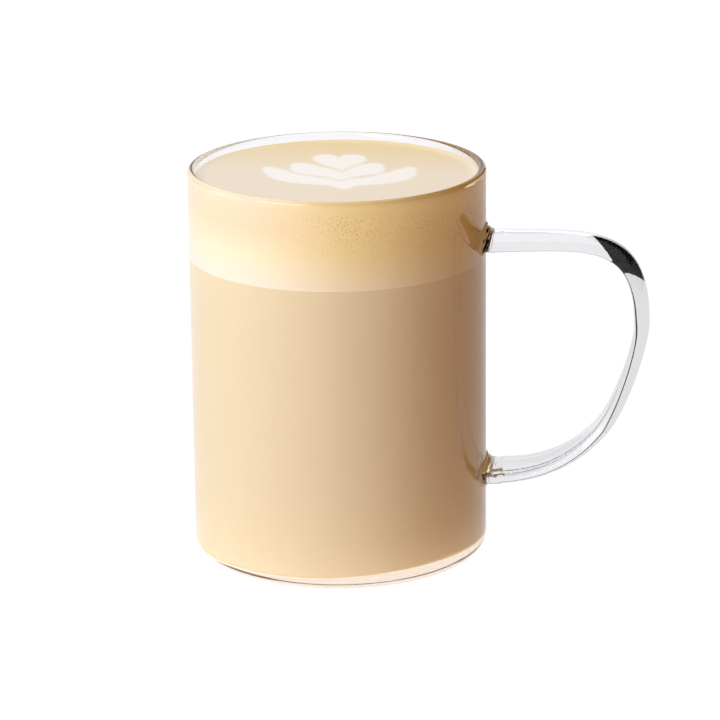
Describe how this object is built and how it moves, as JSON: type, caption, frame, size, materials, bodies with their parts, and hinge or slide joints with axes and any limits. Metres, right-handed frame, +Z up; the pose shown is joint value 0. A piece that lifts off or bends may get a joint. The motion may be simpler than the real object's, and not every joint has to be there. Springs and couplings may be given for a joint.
{
  "type": "latte in a glass mug",
  "caption": "Latte with a layer of milk foam and a poured tulip figure on top, filled almost to the rim of a clear cylindrical glass mug with a drawn strap handle.",
  "frame": {"origin": "centre of the mug's flat underside, on the cup's axis", "axes": "+Z up along the cup's axis, +X from the axis towards the handle, -Y towards the drinker, whom the milk figure faces"},
  "size_m": [0.1241, 0.08, 0.107],
  "materials": {
    "clear_glass": "clear blown borosilicate glass, fire-polished rim",
    "milky_coffee": "opaque liquid, light tan, seen through the glass",
    "milk_foam": "fine milk foam stained with coffee, soft and matte with small bubbles",
    "poured_milk": "white milk foam, smooth and matte"
  },
  "bodies": {
    "root": {"mug": "clear_glass", "coffee": "milky_coffee", "foam": "milk_foam", "milk_heart": "poured_milk", "milk_leaf": "poured_milk", "milk_wings": "poured_milk"}
  },
  "joints": []
}
